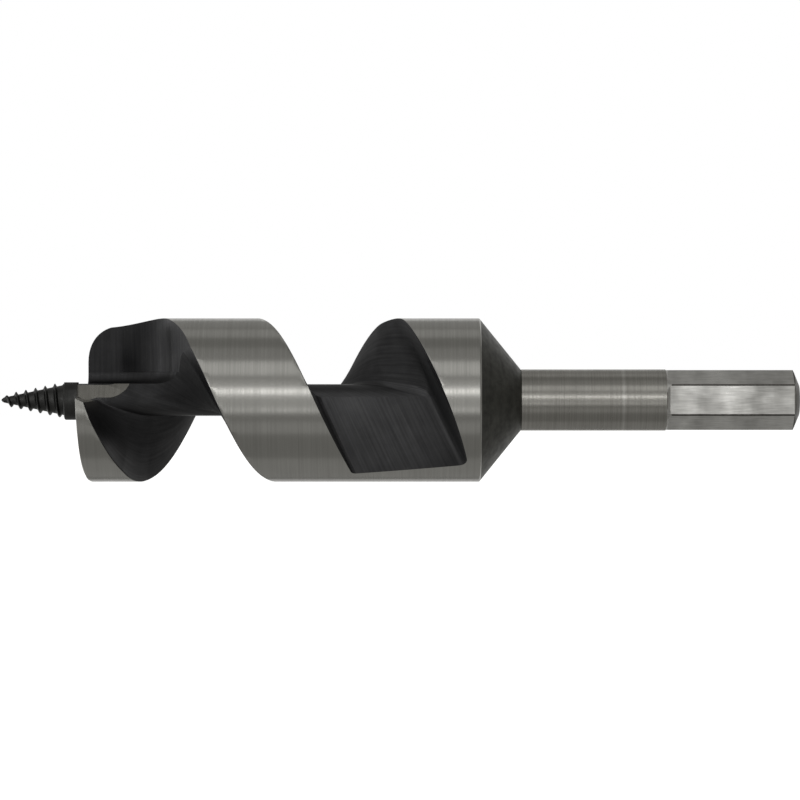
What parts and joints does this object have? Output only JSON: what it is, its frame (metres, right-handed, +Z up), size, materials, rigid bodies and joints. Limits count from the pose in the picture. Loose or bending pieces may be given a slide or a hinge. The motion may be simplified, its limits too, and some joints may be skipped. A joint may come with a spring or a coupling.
{
  "type": "auger bit",
  "caption": "Single-flute auger bit for wood with a tapered lead screw, a ground helical land with a cutting lip, a rear cone and a round shank with a hexagonal drive end.",
  "frame": {"origin": "centre of the shank's end face", "axes": "+X along the bit's axis from the screw point to the shank's end, +Z up as in the picture, with two corners of the hexagon on the Z axis and two flats facing along Y"},
  "size_m": [0.1562, 0.032, 0.032],
  "materials": {
    "blackened_screw": "black oxide, satin",
    "ground_body": "ground on the outer diameter, black oxide in the flute and on the cone",
    "bright_shank": "turned and ground, hexagon milled"
  },
  "bodies": {
    "root": {"lead_screw": "blackened_screw", "auger_body": "ground_body", "shank": "bright_shank"}
  },
  "joints": []
}
